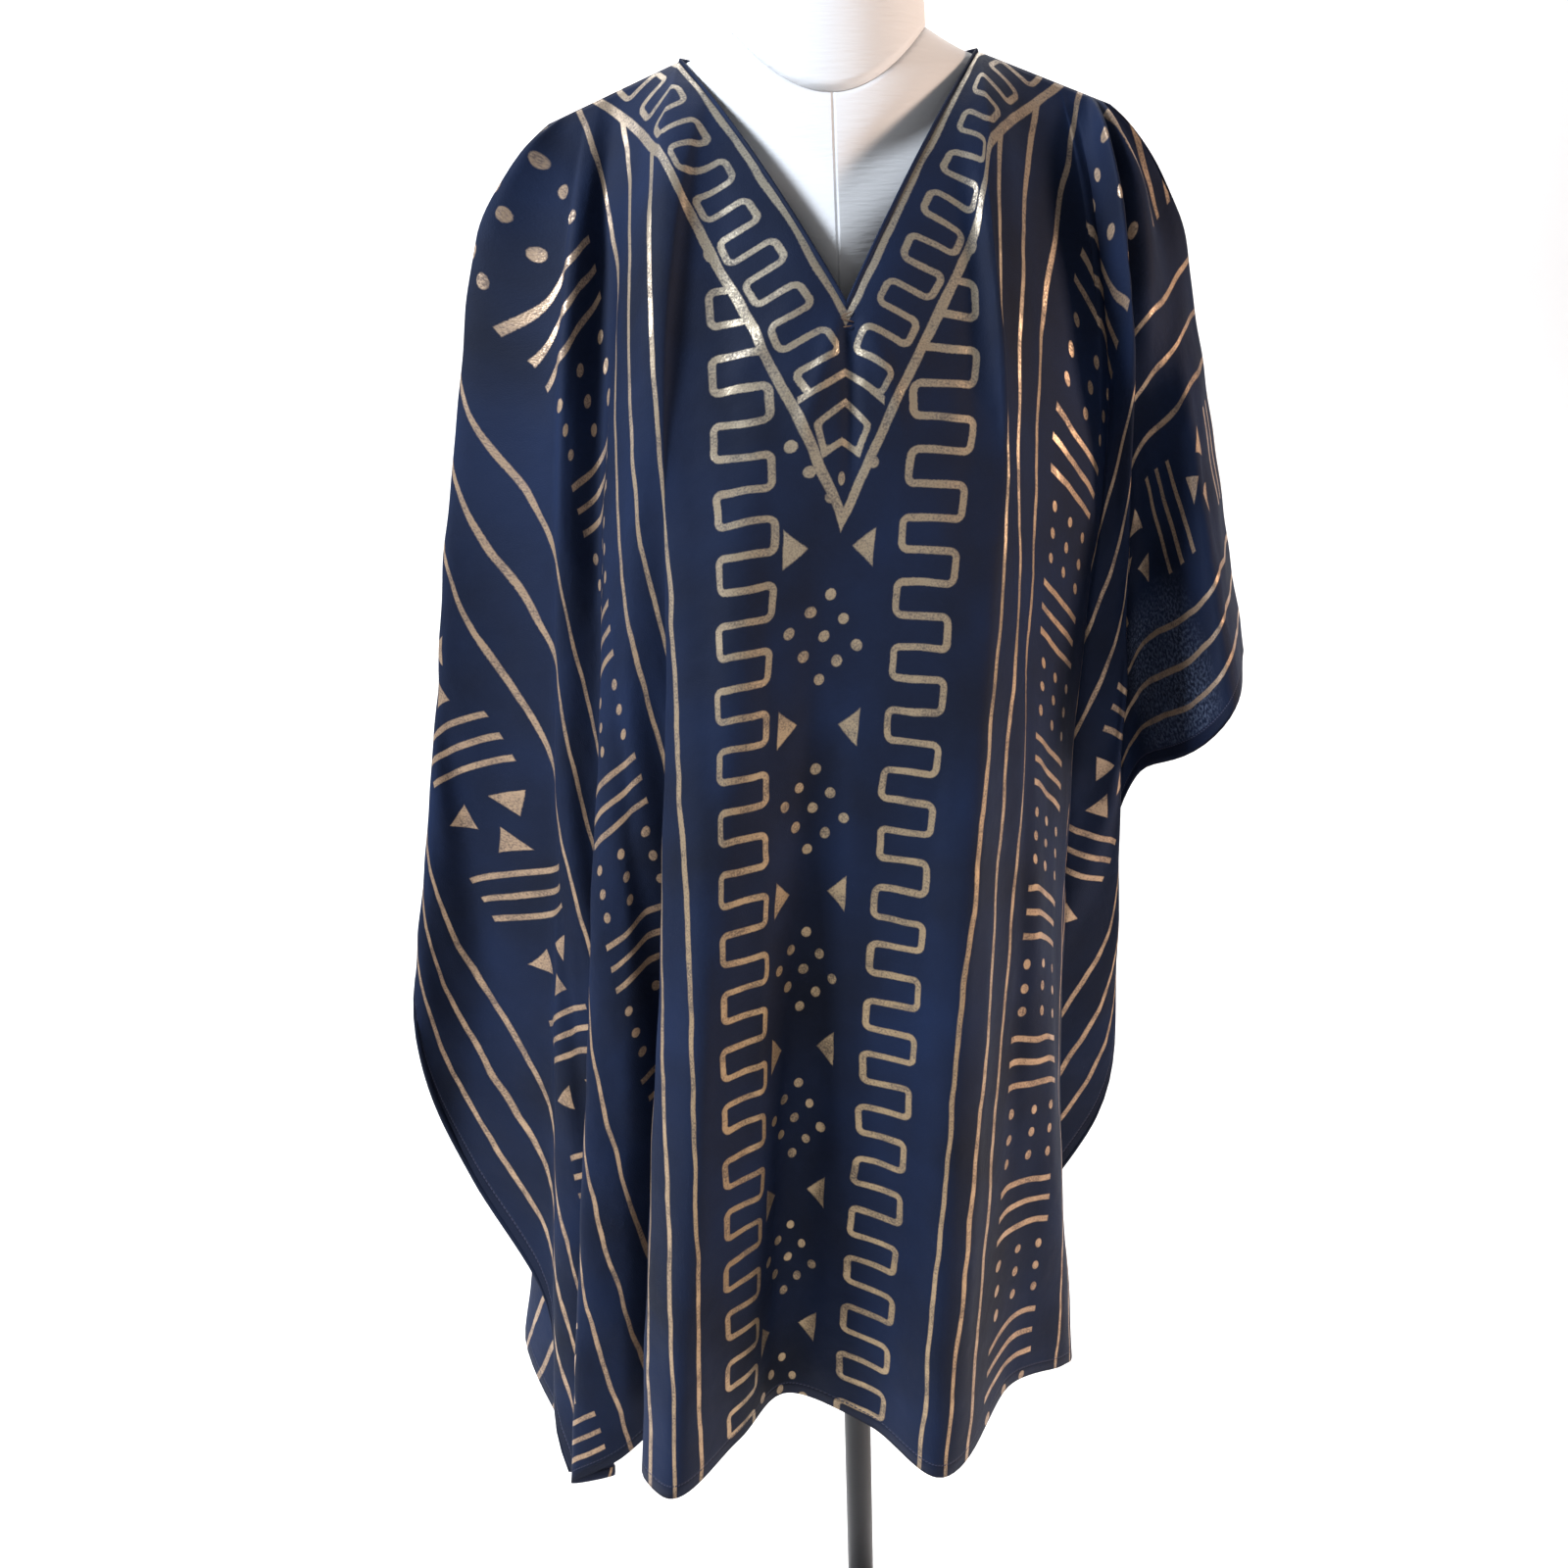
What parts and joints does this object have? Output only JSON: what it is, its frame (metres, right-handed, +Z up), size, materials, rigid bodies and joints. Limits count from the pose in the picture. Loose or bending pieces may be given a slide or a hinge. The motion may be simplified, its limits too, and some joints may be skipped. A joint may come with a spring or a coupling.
{
  "type": "kaftan on a limbless dress form",
  "caption": "Wide cut-in-one sleeve kaftan with a V neck, hanging in soft folds on a limbless dress form with a round-based pole stand.",
  "frame": {"origin": "centre of the base plate's underside, on the floor", "axes": "+Z up the pole, the kaftan's front faces -Y, +X to the viewer's right as seen from the front"},
  "size_m": [0.6118, 0.4413, 1.48],
  "materials": {
    "printed_crepe": "navy crepe with a gold foil print",
    "form_linen": "off-white linen cover",
    "stand_metal": "satin black"
  },
  "bodies": {
    "root": {"front_panel": "printed_crepe", "back_panel": "printed_crepe", "form_torso": "form_linen", "form_neck": "form_linen", "stand_pole": "stand_metal", "stand_base": "stand_metal"}
  },
  "joints": []
}
